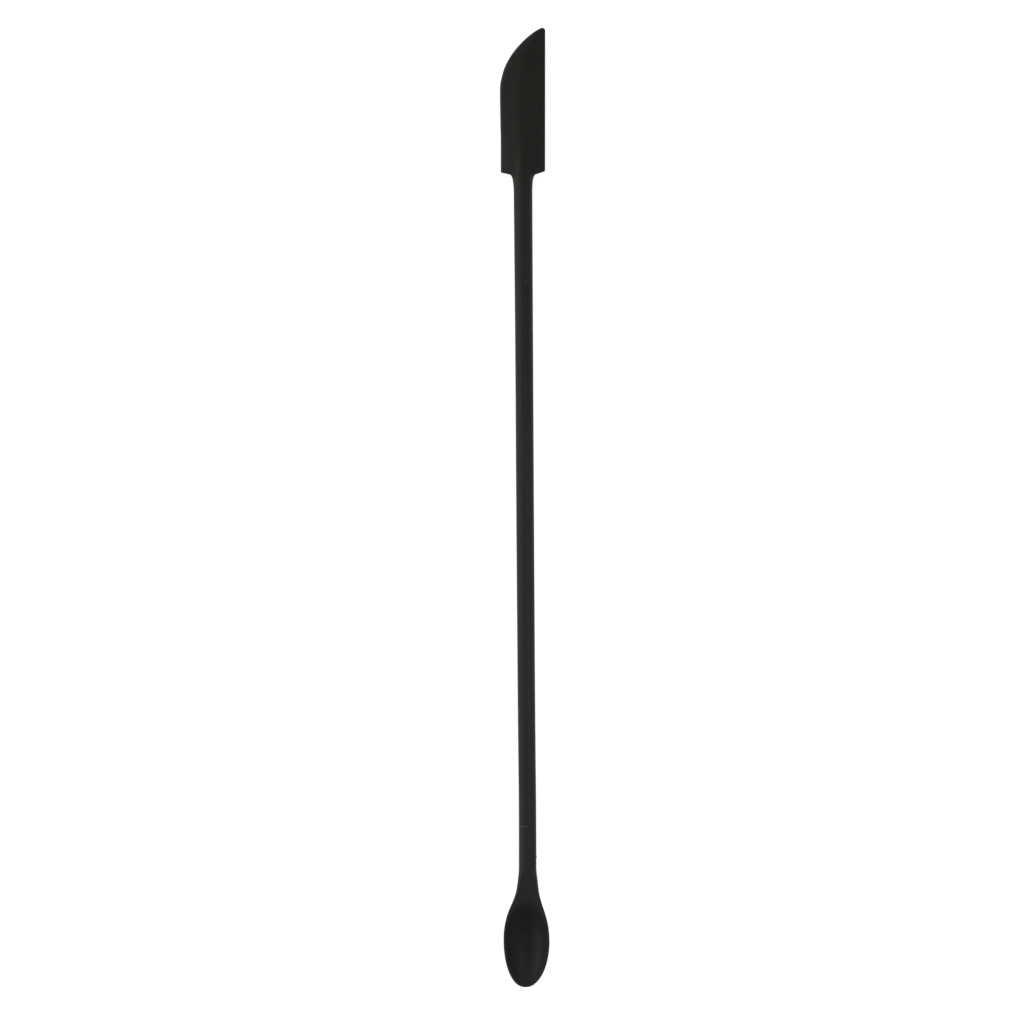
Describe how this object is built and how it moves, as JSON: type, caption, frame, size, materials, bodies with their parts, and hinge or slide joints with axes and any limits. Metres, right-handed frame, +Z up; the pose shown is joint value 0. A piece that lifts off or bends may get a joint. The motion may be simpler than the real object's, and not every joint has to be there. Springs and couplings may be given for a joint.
{
  "type": "double-ended bar stirrer",
  "caption": "Slim double-ended silicone stirrer: long round handle with a small slanted scraper blade at one end and a small oval spoon at the other.",
  "frame": {"origin": "under the handle's axis at the middle of the tool's length, on the surface that it lies on", "axes": "+Y along the handle towards the tip of the blade, +X across towards the blade's long straight edge, +Z up out of the spoon's bowl"},
  "size_m": [0.0105, 0.21, 0.0044],
  "materials": {
    "silicone": "matt black moulded silicone with a fine satin grain",
    "steel": "bright drawn stainless wire and sheet"
  },
  "bodies": {
    "root": {"silicone_overmould": "silicone", "core_rod": "steel", "blade_core_plate": "steel", "spoon_core_plate": "steel"}
  },
  "joints": []
}
